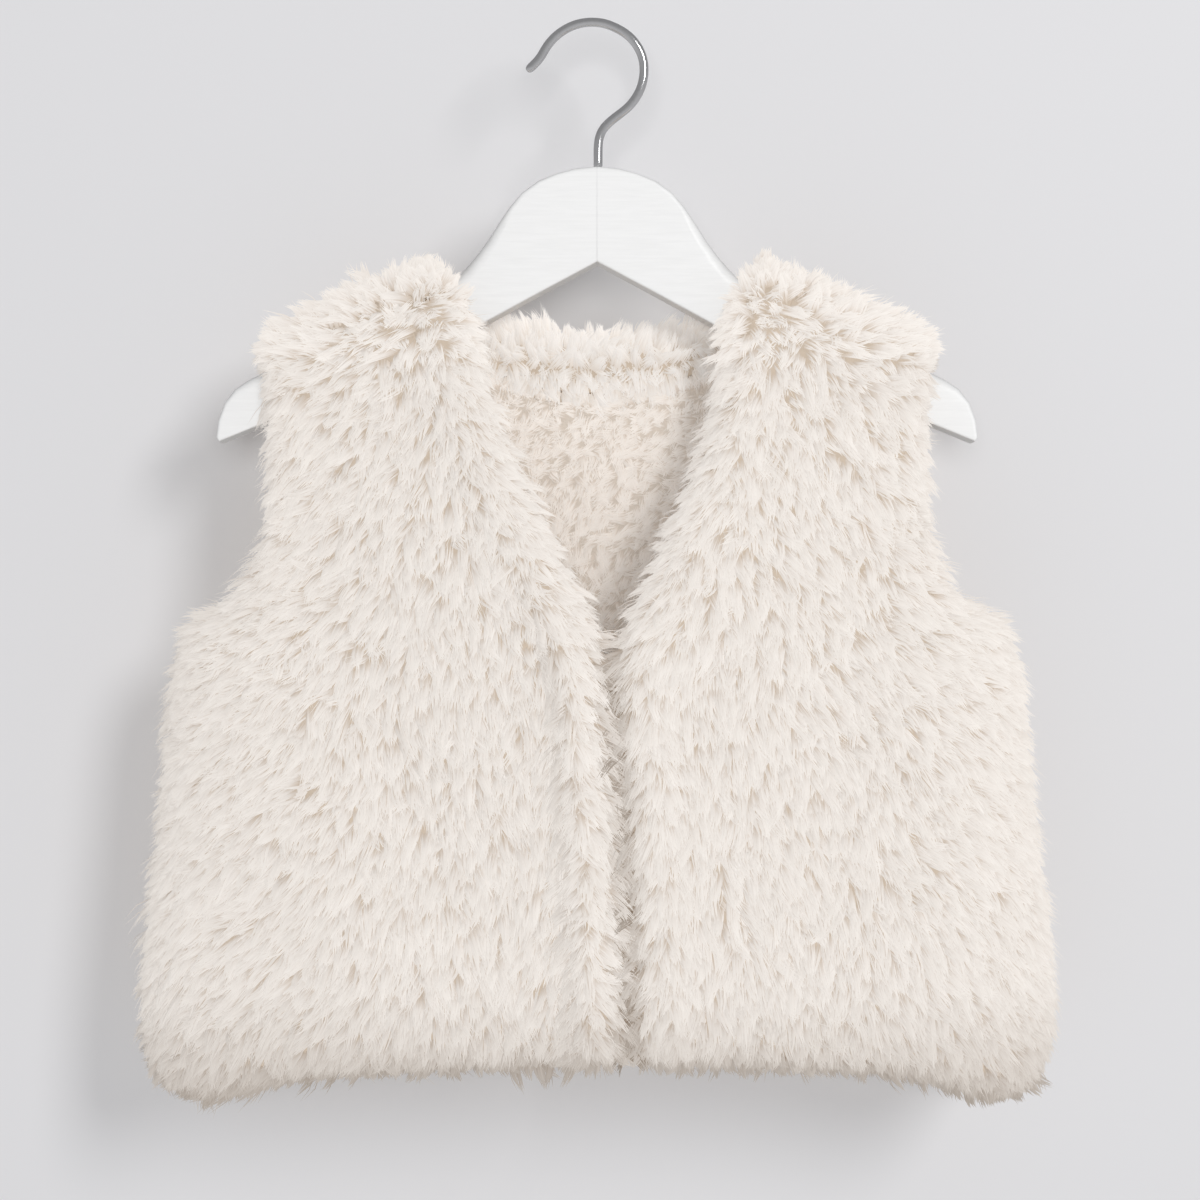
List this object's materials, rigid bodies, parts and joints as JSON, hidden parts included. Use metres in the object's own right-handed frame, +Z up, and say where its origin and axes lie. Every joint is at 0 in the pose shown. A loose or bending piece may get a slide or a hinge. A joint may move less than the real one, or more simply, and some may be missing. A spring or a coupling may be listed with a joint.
{
  "type": "fluffy gilet on a coat hanger",
  "caption": "Child's sleeveless long-pile fluffy gilet with an open V-neck front, hung on a painted wooden hanger with a wire hook.",
  "frame": {"origin": "inside of the top of the hook's bend, where a rail carries it", "axes": "+Z up, the fronts face -Y, +X is the viewer's right and the wearer's left"},
  "size_m": [0.3316, 0.085, 0.3962],
  "materials": {
    "ivory_fur": "long ivory pile with beige roots, matt with a soft sheen",
    "beige_pile": "short matted beige pile",
    "white_paint": "white satin paint over faint grain",
    "bright_wire": "bright plated wire"
  },
  "bodies": {
    "root": {"front_right": "ivory_fur", "front_left": "ivory_fur", "back": "ivory_fur", "front_right_band": "ivory_fur", "front_left_band": "ivory_fur", "back_neck_band": "ivory_fur", "back_lining": "beige_pile", "hanger_arm_right": "white_paint", "hanger_arm_left": "white_paint", "hanger_hook": "bright_wire"}
  },
  "joints": []
}
